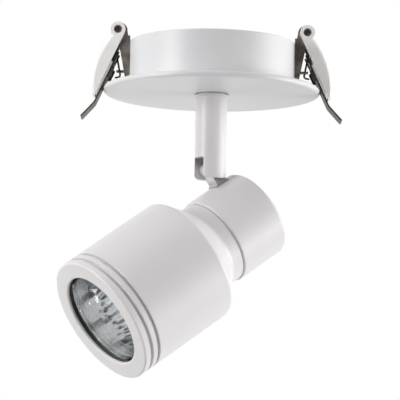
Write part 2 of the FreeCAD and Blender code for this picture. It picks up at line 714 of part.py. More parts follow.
# Terminal block: a moulded two-pole strip with brass tubes, clamp screws and one fixing screw
block_h = tube_h + tube_d / 2 + clamp_rise + clamp_head_t + clamp_sink
block_top = floor_top + block_h
block_start = block_y - block_l / 2
block = rounded_face([
    (-block_w / 2, floor_top, block_foot_r), (block_w / 2, floor_top, block_foot_r),
    (block_w / 2, block_top, block_top_r), (-block_w / 2, block_top, block_top_r)],
    lambda u, v: V(u, block_start, v)).extrude(V(0, block_l, 0))
tube_mid = floor_top + tube_h
clamp_top = block_top - clamp_sink - clamp_head_t
tubes = []
clamp_screw = screw_z(clamp_screw_d, clamp_top - tube_mid - tube_bore_d / 4, clamp_head_d, clamp_head_t)
clamp_screws = []
for side in (-1, 1):
    start = V(side * pole_pitch / 2, block_start, tube_mid)
    block = block.cut(Part.makeCylinder(tube_d / 2 + run_gap, block_l, start, V(0, 1, 0)))
    tube = Part.makeCylinder(tube_d / 2, block_l - 2 * tube_inset, start + V(0, tube_inset, 0), V(0, 1, 0))
    tube = tube.cut(Part.makeCylinder(tube_bore_d / 2, block_l, start, V(0, 1, 0)))
    for end in (-1, 1):
        place = V(start.x, block_y + end * clamp_screw_gap / 2, tube_mid)
        block = block.cut(Part.makeCylinder(clamp_head_d / 2 + slip_gap, block_h, place))
        tube = tube.cut(Part.makeCylinder(clamp_screw_d / 2 + run_gap, tube_d, place))
        clamp_screws.append(moved(clamp_screw, at(place.x, place.y, clamp_top)))
    tubes.append(tube)
block_seat = floor_top + block_seat_h
block = block.cut(Part.makeCylinder(block_screw_d / 2 + slip_gap, block_h, V(0, block_y, floor_top)))
block = block.cut(Part.makeCylinder(block_head_d / 2 + slip_gap, block_h, V(0, block_y, block_seat)))
nodes["terminal_block"] = block
nodes["terminal_tubes"] = group(tubes)
nodes["terminal_screws"] = group(clamp_screws)
floor_grip = floor_thread_l - loose_gap
block_screw = screw_z(block_screw_d, block_seat_h + floor_grip, block_head_d, screw_head_t)
nodes["block_screw"] = moved(block_screw, at(0, block_y, block_seat))
earth_screw = screw_z(earth_screw_d, floor_grip, earth_head_d, earth_head_t)
nodes["earth_screw"] = moved(earth_screw, at(earth_place[0], earth_place[1], floor_top))

# Spring clips. The pin stands clear of the bracket's back plate and of the drum's top edge
plate_in = drum_r + paint_gap
plate_out = plate_in + plate_t
plate_mid = plate_in + plate_t / 2
eye_out_r = pin_d / 2 + eye_wall
pin_r = plate_out + eye_back_gap + eye_out_r
pin_z = drum_h + eye_rise + eye_out_r
pin_at = V(pin_r, 0, pin_z)

# The arm leans on the flange's round rim. Arm coordinates: s runs down the arm from the pin, n points inwards
cover_in = eye_out_r
strip_out = cover_in + strip_step
strip_in = strip_out + strip_t
rim_x = flange_d / 2 - flange_edge_r - pin_r
rim_drop = pin_z + flange_edge_r
rim_n = strip_in + loose_gap + flange_edge_r
rim_far = math.hypot(rim_x, rim_drop)
rim_s = math.sqrt(rim_far ** 2 - rim_n ** 2)
arm = math.atan2(rim_x, rim_drop) + math.asin(rim_n / rim_far)
along = V(math.sin(arm), 0, -math.cos(arm))
inward = V(-math.cos(arm), 0, -math.sin(arm))
strip_from = rim_s - strip_above_rim
strip_bend = rim_s + bend_past_rim
cover_l = rim_s + cover_past_rim
wing_from = strip_from + wing_inset
wing_to = wing_from + wing_l

# Torsion spring: the moving leg leans in until it lies on the strip. Both legs are counted from the vertical
wire_r = spring_wire_d / 2
coil_r = pin_d / 2 + spring_gap + wire_r
moving_leg_l = strip_from + moving_leg_lap
lean_in = math.asin((strip_out - slip_gap - wire_r - coil_r) / moving_leg_l)
leave_deg = math.degrees(arm - lean_in)
fixed_dir = V(math.sin(math.radians(fixed_leg_deg)), 0, math.cos(math.radians(fixed_leg_deg)))
moving_dir = V(math.sin(math.radians(leave_deg)), 0, -math.cos(math.radians(leave_deg)))
start_deg = -fixed_leg_deg
end_deg = 360.0 * (spring_turns - 1) + 180.0 + leave_deg
steps = int(round((end_deg - start_deg) / 90.0))
step_deg = (end_deg - start_deg) / steps
quarter_rise = spring_pitch * step_deg / 360.0
coil_w = quarter_rise * (steps - 1)


def coil_point(i):
    """Point and direction of the coil after i steps. The first and last step climb half as much.
    Angles are counted in the XZ plane from +X towards +Z."""
    a = math.radians(start_deg + step_deg * i)
    climb = 0.0 if i == 0 else (coil_w if i == steps else quarter_rise * (i - 0.5))
    point = pin_at + V(coil_r * math.cos(a), climb - coil_w / 2, coil_r * math.sin(a))
    slope = 0.0 if i in (0, steps) else quarter_rise / math.radians(step_deg)
    direction = V(-coil_r * math.sin(a), slope, coil_r * math.cos(a))
    direction.normalize()
    return point, direction


coil_start = coil_point(0)[0]
coil_end = coil_point(steps)[0]
leg_foot = coil_start - fixed_dir * fixed_leg_l

# Widths from the coil outwards: ears, cover walls and the strip between them
ear_half_in = coil_w / 2 + wire_r + coil_side_gap
ear_out = ear_half_in + ear_t
hollow_half = ear_out + ear_side_gap
cover_half_w = hollow_half + cover_side_t
strip_half_w = hollow_half - strip_side_gap
pin_half_l = cover_half_w - pin_sink


def on_arm(y):
    """Maps arm coordinates (s, n) at a given width to a point."""
    return lambda s, n: pin_at + along * s + inward * n + V(0, y, 0)


def extruded_arm(corners, low_y, high_y):
    """Prism of an outline drawn in arm coordinates."""
    return rounded_face(corners, on_arm(low_y)).extrude(V(0, high_y - low_y, 0))


# Cover: a moulded channel, bowed on the outside and hollow underneath, with an eye on each side wall
cover_web_from = coil_r + wire_r + cover_web_gap
edge_on = on_arm(-cover_half_w)
root_in = edge_on(0, cover_in)
root_out = edge_on(0, -cover_root)
end_out = edge_on(cover_l, cover_in - cover_end_w)
end_in = edge_on(cover_l, cover_in)
bow = Part.Arc(root_out, edge_on(cover_l / 2, -cover_bulge), end_out).toShape()
blade_face = Part.Face(Part.Wire([
    Part.makeLine(root_in, root_out), bow, Part.makeLine(end_out, end_in), Part.makeLine(end_in, root_in)]))
blade = blade_face.extrude(V(0, 2 * cover_half_w, 0))
bow_edges = [edge for edge in blade.Edges if isinstance(edge.Curve, Part.Circle)]
between_walls = Part.makeBox(4 * cover_l, 2 * hollow_half, 4 * cover_l, V(0, -hollow_half, -2 * cover_l))
hollow = moved(blade, at(*(inward * cover_web_t))).common(between_walls)
coil_space = extruded_arm([(-cover_l, -cover_l, 0), (cover_web_from, -cover_l, 0),
                           (cover_web_from, cover_l, 0), (-cover_l, cover_l, 0)], -hollow_half, hollow_half)
cover = blade.makeFillet(cover_root_round_r, cover_end_round_r, bow_edges)
eye_at = pin_at - V(0, cover_half_w, 0)
cover = cover.fuse(Part.makeCylinder(eye_out_r, 2 * cover_half_w, eye_at, V(0, 1, 0))).removeSplitter()
cover = cover.cut(hollow).cut(coil_space)
cover = cover.cut(Part.makeCylinder(pin_d / 2 + run_gap, 2 * cover_half_w, eye_at, V(0, 1, 0)))
# Two rails inside the side walls carry the steel strip's edges
for side in (-1, 1):
    low = min(side * hollow_half, side * (hollow_half - cover_side_t))
    rail = extruded_arm([(strip_from, cover_in - rail_h, 0), (cover_l, cover_in - rail_h, 0),
                         (cover_l, strip_out - paint_gap, 0), (strip_from, strip_out - paint_gap, 0)],
                        low, low + cover_side_t)
    cover = cover.fuse(rail)
cover = cover.removeSplitter()

# Arm strip: spring steel, forked round the spring at its upper end, with two short wings and a turned-out
# finger tip, held under the cover's edges
bend = math.radians(strip_bend_deg)
tip_s = strip_bend + strip_tip_l * math.cos(bend)
tip_n = strip_tip_l * math.sin(bend)
strip = extruded_arm([
    (strip_from, strip_out, 0), (strip_bend, strip_out, strip_bend_r), (tip_s, strip_out - tip_n, 0),
    (tip_s + strip_t * math.sin(bend), strip_in - tip_n, 0),
    (strip_bend + strip_t * math.tan(bend / 2), strip_in, strip_bend_r + strip_t),
    (strip_from, strip_in, 0)], -strip_half_w, strip_half_w)
for side in (-1, 1):
    edge = side * strip_half_w
    low = min(edge, edge - side * strip_t)
    wing_end = strip_in + wing_h
    wing = extruded_arm([(wing_from, strip_out, 0), (wing_to, strip_out, 0),
                         (wing_to - wing_slope, wing_end, wing_corner_r),
                         (wing_from + wing_slope, wing_end, wing_corner_r)], low, low + strip_t)
    prong_in = side * (coil_w / 2 + wire_r + fork_side_gap)
    prong = extruded_arm([(strip_from - fork_l, strip_out, 0), (strip_from, strip_out, 0),
                          (strip_from, strip_in, 0), (strip_from - fork_l, strip_in, 0)],
                         min(edge, prong_in), max(edge, prong_in))
    strip = strip.fuse(wing).fuse(prong)
strip = strip.removeSplitter()

# Bracket: a curved back plate on the drum, two ears that carry the pin, and a tab for the spring's fixed leg
bracket_foot_z = leg_foot.z - bracket_foot_drop
bracket_top_z = drum_h + bracket_above_drum
ear_r = eye_out_r + ear_past_eye
ear_x = pin_r - ear_shift_in
ear_z = pin_z - ear_shift_down
plate_arc = turned_z([(plate_in, bracket_foot_z, 0), (plate_out, bracket_foot_z, 0),
                      (plate_out, bracket_top_z, 0), (plate_in, bracket_top_z, 0)])
bracket = plate_arc.common(Part.makeBox(drum_r, 2 * ear_out, drum_h * 2, V(drum_r / 2, -ear_out, 0)))
ear_corners = [
    (plate_mid, bracket_foot_z, 0), (plate_out + ear_foot_w, bracket_foot_z, ear_corner_r),
    (pin_r - ear_waist_in, pin_z - ear_waist_drop, ear_waist_r),
    (ear_x + ear_r * 0.9, ear_z - ear_r * 0.4, 0),
    (ear_x - ear_r * 0.7, ear_z + ear_r * 0.7, ear_corner_r), (plate_mid, bracket_top_z, ear_corner_r)]
for side in (-1, 1):
    low = min(side * ear_half_in, side * ear_out)
    ear = rounded_face(ear_corners, lambda u, v: V(u, low, v)).extrude(V(0, ear_t, 0))
    ear = ear.fuse(Part.makeCylinder(ear_r, ear_t, V(ear_x, low, ear_z), V(0, 1, 0)))
    bracket = bracket.fuse(ear)
leg_tab_l = leg_foot.x + wire_r + leg_tab_past - plate_mid
leg_tab = Part.makeBox(leg_tab_l, leg_tab_w, leg_tab_t,
                       V(plate_mid, coil_start.y - leg_tab_w / 2, leg_foot.z + leg_tab_rise))
bracket = bracket.fuse(leg_tab).removeSplitter()
leg_hole = Part.makeCylinder(wire_r + slip_gap, fixed_leg_l, leg_foot, fixed_dir)
pin_bore = Part.makeCylinder(pin_d / 2 + press_gap, 2 * ear_out, pin_at - V(0, ear_out, 0), V(0, 1, 0))
bracket = bracket.cut(leg_hole).cut(pin_bore)

# Rivets through plate and drum wall, heads on both sides
wall_in = drum_r - drum_wall - paint_gap
opposite = FreeCAD.Placement(V(), FreeCAD.Rotation(V(0, 0, 1), 180))
rivets = []
rivet_high_z = drum_h - rivet_from_top
for height in (rivet_high_z - rivet_pitch, rivet_high_z):
    hole = Part.makeCylinder(rivet_d / 2 + press_gap, drum_r, V(drum_r / 2, 0, height), V(1, 0, 0))
    bracket = bracket.cut(hole)
    canopy = canopy.cut(hole).cut(moved(hole, opposite))
    shank = Part.makeCylinder(rivet_d / 2, plate_out + paint_gap - wall_in, V(wall_in, 0, height), V(1, 0, 0))
    head = Part.makeCylinder(rivet_head_d / 2, rivet_head_t, V(plate_out + paint_gap, 0, height), V(1, 0, 0))
    head = head.makeFillet(rivet_head_t / 2, [head.Edges[0]])
    tail = Part.makeCylinder(rivet_tail_d / 2, rivet_head_t, V(wall_in, 0, height), V(-1, 0, 0))
    rivets.append(shank.fuse(head).fuse(tail).removeSplitter())
nodes["ceiling_canopy"] = canopy

# Pin with a hollow end on each side
pin = Part.makeCylinder(pin_d / 2, 2 * pin_half_l, pin_at - V(0, pin_half_l, 0), V(0, 1, 0))
for side in (-1, 1):
    pin_end = pin_at + V(0, side * pin_half_l, 0)
    dimple = Part.makeCylinder(pin_d / 2 - pin_rim, pin_dimple_l, pin_end, V(0, -side, 0))
    pin = pin.cut(dimple)

# Spring wire: fixed leg with a hook, coil round the pin, moving leg inside the cover


def biarc(p0, t0, p1, t1):
    """Two arcs that leave p0 along t0 and reach p1 along t1, with equal tangent lengths."""
    chord = p1 - p0
    a = 2 * (1 - t0.dot(t1))
    b = 2 * chord.dot(t0 + t1)
    d = (-b + math.sqrt(b * b + 4 * a * chord.dot(chord))) / (2 * a)
    q0 = p0 + t0 * d
    q1 = p1 - t1 * d
    joint = (q0 + q1) * 0.5
    arcs = []
    for start, knee, end in ((p0, q0, joint), (joint, q1, p1)):
        middle = (start + end) * 0.5
        rise = knee - middle
        half = (end - start).Length / 2
        lift = half * math.tan(math.atan2(rise.Length, half) / 2)
        rise.normalize()
        arcs.append(Part.Arc(start, middle + rise * lift, end))
    return arcs


hook_out = V(fixed_dir.z, 0, -fixed_dir.x)
hook_knee = leg_foot - fixed_dir * hook_r + hook_out * hook_r
hook_mid = leg_foot + hook_out * hook_r - (fixed_dir + hook_out) * (hook_r / math.sqrt(2))
hook_end = hook_knee + hook_out * hook_l
path = [Part.LineSegment(hook_end, hook_knee), Part.Arc(hook_knee, hook_mid, leg_foot),
        Part.LineSegment(leg_foot, coil_start)]
for i in range(steps):
    path += biarc(*coil_point(i), *coil_point(i + 1))
path.append(Part.LineSegment(coil_end, coil_end + moving_dir * moving_leg_l))
spine = Part.Wire([piece.toShape() for piece in path])
ring_profile = Part.Wire(Part.makeCircle(wire_r, hook_end, hook_out))
spring = Part.Solid(spine.makePipeShell([ring_profile], True, False))
samples = [coil_point(i / 8.0)[0] for i in range(8 * steps + 1)]
turn_steps = int(round(8 * 360.0 / step_deg))
least = min((samples[i] - samples[j]).Length for i in range(len(samples))
            for j in range(i + turn_steps // 2, len(samples))) - spring_wire_d
print("spring: least gap between turns %.2f mm" % least)
wire_volume = spine.Length * math.pi * spring_wire_d ** 2 / 4
print("spring: volume %.2f mm3 for wire %.2f mm3" % (spring.Volume, wire_volume))

for label, spot in (("right", FreeCAD.Placement()), ("left", opposite)):
    nodes["clip_bracket_" + label] = moved(bracket, spot)
    nodes["clip_rivets_" + label] = moved(group(rivets), spot)
    nodes["clip_pin_" + label] = moved(pin, spot)
    nodes["clip_spring_" + label] = moved(spring, spot)
    nodes["clip_strip_" + label] = moved(strip, spot)
    nodes["clip_cover_" + label] = moved(cover, spot)

for name, shape in sorted(nodes.items()):
    shape.exportStep("parts/%s.step" % name)
    print("%-20s solids %d valid %s volume %.1f" % (name, len(shape.Solids), shape.isValid(), shape.Volume))
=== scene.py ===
import math
import bpy
import numpy as np
from mathutils import Matrix


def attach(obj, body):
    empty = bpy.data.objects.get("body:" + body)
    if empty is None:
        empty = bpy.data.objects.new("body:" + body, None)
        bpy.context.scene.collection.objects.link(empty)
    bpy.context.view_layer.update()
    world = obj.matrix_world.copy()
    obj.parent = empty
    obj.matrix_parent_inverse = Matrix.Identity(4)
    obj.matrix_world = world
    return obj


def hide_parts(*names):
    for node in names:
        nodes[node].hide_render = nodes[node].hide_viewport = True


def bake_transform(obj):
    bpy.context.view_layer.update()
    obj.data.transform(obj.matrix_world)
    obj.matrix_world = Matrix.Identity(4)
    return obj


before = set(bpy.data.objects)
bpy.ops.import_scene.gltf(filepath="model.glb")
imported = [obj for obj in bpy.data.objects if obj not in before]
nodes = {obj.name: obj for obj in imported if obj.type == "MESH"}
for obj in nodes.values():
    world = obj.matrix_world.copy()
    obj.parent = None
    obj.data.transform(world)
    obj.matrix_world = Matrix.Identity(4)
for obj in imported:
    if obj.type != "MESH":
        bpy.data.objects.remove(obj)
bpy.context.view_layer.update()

MM = 0.001

# Ceiling canopy: a flange and an open drum cast in one piece of aluminium, with a threaded place for the
# earth screw. It is coated with satin white powder, which melts into a smooth film with a faint orange peel.
CANOPY_WHITE = "#E7E7E8"
CANOPY_SHADE = "#E2E2E4"
CLOUD_MM = 16.0
PEEL_MM = 0.9          # the real peel is about 0.5 mm, drawn coarser so that it shows
PEEL_DEPTH_MM = 0.03
PEEL_STRENGTH = 0.12
SATIN_ROUGH = (0.3, 0.4)
PAINT_IOR = 1.5
CORNER_MM = 1.2        # painted shade: the paint is drawn darker where two faces meet
CORNER_PAINTED_SHADE = "#9C9A98"
CORNER_POWER = 1.6
CORNER_SAMPLES = 8


def linear(colour):
    """Linear RGBA of an sRGB hex colour, by the standard sRGB curve."""
    parts = np.array([int(colour[i:i + 2], 16) for i in (1, 3, 5)]) / 255
    return (*np.where(parts <= 0.04045, parts / 12.92, ((parts + 0.055) / 1.055) ** 2.4), 1.0)


def add(tree, kind, inputs=None, **settings):
    """Adds one node, sets its properties, then fills its sockets from values or other nodes' outputs."""
    made = tree.nodes.new(kind)
    for key, value in settings.items():
        setattr(made, key, value)
    for key, value in (inputs or {}).items():
        if isinstance(value, bpy.types.NodeSocket):
            tree.links.new(value, made.inputs[key])
        else:
            made.inputs[key].default_value = value
    return made


def new_finish(name):
    """Empty node material, its tree, and the object coordinates that its patterns read."""
    finish = bpy.data.materials.new(name)
    finish.use_nodes = True
    finish.node_tree.nodes.clear()
    return finish, finish.node_tree, add(finish.node_tree, "ShaderNodeTexCoord").outputs["Object"]


def show(finish, inputs):
    """Puts one shader with these inputs on the material's output."""
    shader = add(finish.node_tree, "ShaderNodeBsdfPrincipled", inputs)
    add(finish.node_tree, "ShaderNodeOutputMaterial", {"Surface": shader.outputs[0]})
    return finish


def noise(tree, place, patch_mm, detail):
    """Cloudy pattern from 0 to 1, with patches of about the given size."""
    made = add(tree, "ShaderNodeTexNoise", {"Vector": place, "Scale": 1 / (patch_mm * MM), "Detail": detail})
    return made.outputs[0]


def mix(tree, share, low, high):
    """Colour between two linear colours or colour outputs."""
    return add(tree, "ShaderNodeMix", {0: share, 6: low, 7: high}, data_type="RGBA").outputs[2]


def spread(tree, pattern, low, high):
    """A pattern from 0 to 1 stretched to run from low to high."""
    return add(tree, "ShaderNodeMapRange", {"Value": pattern, "To Min": low, "To Max": high}).outputs[0]


def relief(tree, pattern, strength, depth_mm):
    """Normal of a surface whose fine height is the pattern."""
    return add(tree, "ShaderNodeBump", {
        "Height": pattern, "Strength": strength, "Distance": depth_mm * MM}).outputs[0]


def maths(tree, operation, *values):
    """One step of arithmetic on numbers or node outputs."""
    return add(tree, "ShaderNodeMath", dict(enumerate(values)), operation=operation).outputs[0]


def wear(finish, *names):
    """Gives a finish to CAD nodes, in all their material slots."""
    for name in names:
        for slot in nodes[name].material_slots:
            slot.material = finish


def powder_coat(name, light, shade, corner_mm=CORNER_MM, corner_shade=CORNER_PAINTED_SHADE, own_corners=False):
    """Satin powder paint: cloudy tone between two close whites, roughness that drifts, orange-peel bump, and
    painted shade in the corners: a darker tone by how much of the near surroundings a point sees."""
    finish, tree, place = new_finish(name)
    cloud = noise(tree, place, CLOUD_MM, 3.0)
    peel = noise(tree, place, PEEL_MM, 2.0)
    tone = mix(tree, cloud, linear(shade), linear(light))
    corner = add(tree, "ShaderNodeAmbientOcclusion", {"Distance": corner_mm * MM},
                 samples=CORNER_SAMPLES, only_local=own_corners)
    seen = maths(tree, "POWER", corner.outputs["AO"], CORNER_POWER)
    return show(finish, {
        "Base Color": mix(tree, seen, linear(corner_shade), tone), "Roughness": spread(tree, cloud, *SATIN_ROUGH),
        "IOR": PAINT_IOR, "Normal": relief(tree, peel, PEEL_STRENGTH, PEEL_DEPTH_MM)})


# The canopy's paint carries painted shade in its corners, drawn darker where two faces meet.
wear(powder_coat("satin_white_powder_coat", CANOPY_WHITE, CANOPY_SHADE), "ceiling_canopy")

# Clip brackets: pressed from oiled spring steel, with two ears for the pin and a tab for the spring's leg.
# Each is held on the drum by two zinc-plated steel rivets, set cold.
BRACKET_STEEL = "#D8CFC5"
BRACKET_DARK = "#7E756C"
BRACKET_ROUGH = 0.5
ROLLING_MM = 0.35      # rolling lines across the strip, drawn coarser than the real 0.1 mm
ROLLING_RUN_MM = 9.0
ROLLING_TONES = (0.12, 0.4)
ROLLING_DEPTH_MM = 0.02
ROLLING_STRENGTH = 0.2
OIL_MM = 5.0
OIL_ROUGH = 0.1        # how far patches of oil change the roughness, either way
ZINC = "#B4B6BA"
ZINC_DARK = "#8C8F95"
ZINC_ROUGH = (0.2, 0.4)
SPANGLE_MM = 1.6
ZINC_GRAIN_MM = 0.4
ZINC_DEPTH_MM = 0.02
ZINC_STRENGTH = 0.1


def rolled_steel(name, light, dark, rough):
    """Rolled spring steel: lines drawn out along the strip change the tone and score it, and patches of oil
    change the tone and roughness.
    """
    finish, tree, place = new_finish(name)
    stretch = add(tree, "ShaderNodeMapping", {"Vector": place, "Scale": (
        1 / (ROLLING_RUN_MM * MM), 1 / (ROLLING_MM * MM), 1 / (ROLLING_RUN_MM * MM))})
    lines = add(tree, "ShaderNodeTexNoise", {
        "Vector": stretch.outputs[0], "Scale": 1.0, "Detail": 4.0}).outputs[0]
    oil = noise(tree, place, OIL_MM, 3.0)
    tone = add(tree, "ShaderNodeMapRange", {
        "Value": maths(tree, "MULTIPLY", lines, oil),
        "From Min": ROLLING_TONES[0], "From Max": ROLLING_TONES[1]}).outputs[0]
    return show(finish, {
        "Base Color": mix(tree, tone, linear(dark), linear(light)), "Metallic": 1.0,
        "Roughness": spread(tree, oil, rough - OIL_ROUGH, rough + OIL_ROUGH),
        "Normal": relief(tree, lines, ROLLING_STRENGTH, ROLLING_DEPTH_MM)})


def zinc_plate(name, light, dark):
    """Bright zinc plate on steel: small crystals differ in tone, and a fine grain changes the gloss and scores
    it.
    """
    finish, tree, place = new_finish(name)
    grain = add(tree, "ShaderNodeTexVoronoi", {"Vector": place, "Scale": 1 / (SPANGLE_MM * MM)})
    crystal = add(tree, "ShaderNodeSeparateColor", {0: grain.outputs["Color"]})
    fine = noise(tree, place, ZINC_GRAIN_MM, 3.0)
    return show(finish, {
        "Base Color": mix(tree, crystal.outputs[0], linear(dark), linear(light)), "Metallic": 1.0,
        "Roughness": spread(tree, fine, *ZINC_ROUGH),
        "Normal": relief(tree, fine, ZINC_STRENGTH, ZINC_DEPTH_MM)})


wear(rolled_steel("oiled_spring_steel", BRACKET_STEEL, BRACKET_DARK, BRACKET_ROUGH),
     "clip_bracket_left", "clip_bracket_right")
zinc = zinc_plate("bright_zinc_plate", ZINC, ZINC_DARK)
wear(zinc, "clip_rivets_left", "clip_rivets_right")

# Clip springs: torsion springs of round music wire, wound on the pin. A hooked leg goes through the bracket's
# tab, and a straight leg presses the arm's strip towards the drum. Cold drawing leaves the wire grey.
PIN_R = 43.75
PIN_Z = 25.9
WIRE_R = 0.45
COIL_R = 2.6
COIL_STEPS = 14
COIL_FROM_DEG = -11.0
COIL_TO_DEG = 1280.28
STEP_RISE = 0.3971
FIXED_LEG_L = 19.5
MOVING_LEG_L = 18.0
MOVING_LEG_DEG = 20.28
HOOK_R = 1.1
HOOK_L = 1.2
WIRE_SIDES = 14
STEP_POINTS = 20
LEG_POINTS = 14
BEND_POINTS = 9
TIP_POINTS = 4
END_SLIM = np.array([0.3, 0.75, 1.0])     # the wire's ends are rounded: share of the radius
END_EASE = np.array([1.0, 0.65, 0.2])     # and how far along, in radii
WIRE_STEEL = "#A5A09A"
WIRE_DARK = "#76716B"
WIRE_ROUGH = 0.26


def surface(name, grid, close_rows=False):
    """Mesh of a grid of points, rows by columns. Columns wrap round. Rows wrap too, or else a flat face
    closes each end. Faces are turned so that the volume, a sum of signed tetrahedra, is positive."""
    rows, columns = grid.shape[:2]
    i, j = np.meshgrid(np.arange(rows if close_rows else rows - 1), np.arange(columns), indexing="ij")
    down = (i + 1) % rows
    across = (j + 1) % columns
    quads = np.stack([i * columns + j, i * columns + across, down * columns + across, down * columns + j], -1)
    quads = quads.reshape(-1, 4)
    points = grid.reshape(-1, 3)
    centred = points - points.mean(0)
    a, b, c, d = (centred[quads[:, k]] for k in range(4))
    volume = (np.einsum("ij,ij->i", a, np.cross(b, c)) + np.einsum("ij,ij->i", a, np.cross(c, d))).sum()
    faces = quads.tolist()
    if not close_rows:
        faces += [list(range(columns))[::-1], list(range((rows - 1) * columns, rows * columns))]
    if volume < 0:
        faces = [face[::-1] for face in faces]
    mesh = bpy.data.meshes.new(name)
    mesh.from_pydata(points * MM, [], faces)
    mesh.polygons.foreach_set("use_smooth", np.ones(len(mesh.polygons), bool))
    mesh.update()
    piece = bpy.data.objects.new(name, mesh)
    bpy.context.scene.collection.objects.link(piece)
    return piece


def round_wire(path, radius, sides, side_axis):
    """Grid of a round wire: at each point of the path a circle in the plane across the path's direction.
    Its two axes are the cross products of the direction with a fixed side axis. The ends are rounded off."""
    run = np.gradient(path, axis=0)
    run /= np.linalg.norm(run, axis=1, keepdims=True)
    first = np.cross(run, side_axis)
    first /= np.linalg.norm(first, axis=1, keepdims=True)
    second = np.cross(run, first)
    ends = len(END_SLIM)
    ease = radius * END_EASE
    path = np.vstack([path[0] - run[0] * ease[:, None], path[1:-1], path[-1] + run[-1] * ease[::-1, None]])
    first = np.vstack([np.repeat(first[:1], ends, 0), first[1:-1], np.repeat(first[-1:], ends, 0)])
    second = np.vstack([np.repeat(second[:1], ends, 0), second[1:-1], np.repeat(second[-1:], ends, 0)])
    size = radius * np.concatenate([END_SLIM, np.ones(len(path) - 2 * ends), END_SLIM[::-1]])
    turn = np.linspace(0, 2 * np.pi, sides, endpoint=False)
    ring = np.cos(turn)[None, :, None] * first[:, None] + np.sin(turn)[None, :, None] * second[:, None]
    return path[:, None] + size[:, None, None] * ring


def spring_path():
    """Hook arc, straight fixed leg, coil, straight moving leg, in the clip's own frame with the pin on Y.
    The coil is a helix whose climb starts and ends level: half a step squared at each end, linear between."""
    lean = math.radians(-COIL_FROM_DEG)
    fixed = np.array([math.sin(lean), 0, math.cos(lean)])
    outward = np.array([fixed[2], 0, -fixed[0]])
    leave = math.radians(MOVING_LEG_DEG)
    moving = np.array([math.sin(leave), 0, -math.cos(leave)])
    step = np.linspace(0, COIL_STEPS, COIL_STEPS * STEP_POINTS + 1)
    climb = np.where(step < 1, step ** 2 / 2, step - 0.5)
    climb = np.where(step > COIL_STEPS - 1, COIL_STEPS - 1 - (COIL_STEPS - step) ** 2 / 2, climb)
    angle = np.radians(COIL_FROM_DEG + (COIL_TO_DEG - COIL_FROM_DEG) * step / COIL_STEPS)
    width = STEP_RISE * (COIL_STEPS - 1)
    coil = np.stack([COIL_R * np.cos(angle), STEP_RISE * climb - width / 2, COIL_R * np.sin(angle)], -1)
    foot = coil[0] - fixed * FIXED_LEG_L
    leg = coil[0] - fixed * np.linspace(FIXED_LEG_L, 0, LEG_POINTS, endpoint=False)[:, None]
    bend = np.linspace(np.pi / 2, 0, BEND_POINTS, endpoint=False)[:, None]
    hook = foot + outward * HOOK_R * (1 - np.cos(bend)) - fixed * HOOK_R * np.sin(bend)
    tip = hook[0] + outward * np.linspace(HOOK_L, 0, TIP_POINTS, endpoint=False)[:, None]
    arm_leg = coil[-1] + moving * np.linspace(0, MOVING_LEG_L, LEG_POINTS)[1:, None]
    return np.vstack([tip, hook, leg, coil, arm_leg]), width


wire_steel = rolled_steel("drawn_music_wire", WIRE_STEEL, WIRE_DARK, WIRE_ROUGH)
spring_line, coil_width = spring_path()
for side, sign in (("right", 1), ("left", -1)):
    turned = spring_line * (sign, sign, 1) + (sign * PIN_R, 0, PIN_Z)
    spring = surface("torsion_spring_" + side, round_wire(turned, WIRE_R, WIRE_SIDES, (0, 1, 0)))
    spring.data.materials.append(wire_steel)
    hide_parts("clip_spring_" + side)
    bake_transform(spring)

# Clip pins: hollow rivets of plain steel that carry the arm's two eyes in the bracket's ears.
# They are pressed in and spread at the end, which leaves the steel pale and dull.
PIN_STEEL = "#DAD6D1"
PIN_DARK = "#B4AFA9"
PIN_ROUGH = 0.55
wear(rolled_steel("plain_rivet_steel", PIN_STEEL, PIN_DARK, PIN_ROUGH), "clip_pin_left", "clip_pin_right")

# Clip arms: a strip of spring steel with two wings and a turned-out finger tip, under a moulded white cover.
# The cover is plain white polyamide from a finely eroded mould, so it is duller than the paint.
STRIP_STEEL = "#8A847D"
STRIP_DARK = "#59534D"
STRIP_ROUGH = 0.58
COVER_WHITE = "#FFFDFB"
COVER_SHADE = "#FBF8F6"
COVER_ROUGH = 0.5
EROSION_MM = 0.35
EROSION_DEPTH_MM = 0.02
EROSION_STRENGTH = 0.15
EROSION_ROUGH = 0.06   # how far the grain changes the roughness, either way
PLASTIC_IOR = 1.53


def moulded_plastic(name, light, shade, rough):
    """Moulded plastic: cloudy tone, and a fine eroded grain from the mould in the bump and roughness."""
    finish, tree, place = new_finish(name)
    cloud = noise(tree, place, CLOUD_MM, 2.0)
    grain = noise(tree, place, EROSION_MM, 3.0)
    return show(finish, {
        "Base Color": mix(tree, cloud, linear(shade), linear(light)),
        "Roughness": spread(tree, grain, rough - EROSION_ROUGH, rough + EROSION_ROUGH),
        "IOR": PLASTIC_IOR, "Normal": relief(tree, grain, EROSION_STRENGTH, EROSION_DEPTH_MM)})


wear(rolled_steel("rolled_spring_steel", STRIP_STEEL, STRIP_DARK, STRIP_ROUGH),
     "clip_strip_left", "clip_strip_right")
wear(moulded_plastic("moulded_white_polyamide", COVER_WHITE, COVER_SHADE, COVER_ROUGH),
     "clip_cover_left", "clip_cover_right")

# Terminal block: two poles in a moulded natural polyamide strip, screwed to the canopy's floor.
# Its tubes are turned brass, and its screws and the earth screw are zinc-plated steel.
BLOCK_WHITE = "#E3E1D8"
BLOCK_SHADE = "#D8D5CA"
BLOCK_ROUGH = 0.45
BRASS = "#C9A961"
BRASS_DARK = "#A5854A"
BRASS_ROUGH = (0.24, 0.42)
TURNING_MM = 0.3
TURNING_DEPTH_MM = 0.02
TURNING_STRENGTH = 0.1
OXIDE_MM = 3.0


def turned_brass(name, light, dark):
    """Turned brass: fine lines and patches of dull oxide."""
    finish, tree, place = new_finish(name)
    lines = noise(tree, place, TURNING_MM, 3.0)
    oxide = noise(tree, place, OXIDE_MM, 2.0)
    return show(finish, {
        "Base Color": mix(tree, oxide, linear(dark), linear(light)), "Metallic": 1.0,
        "Roughness": spread(tree, oxide, *BRASS_ROUGH),
        "Normal": relief(tree, lines, TURNING_STRENGTH, TURNING_DEPTH_MM)})


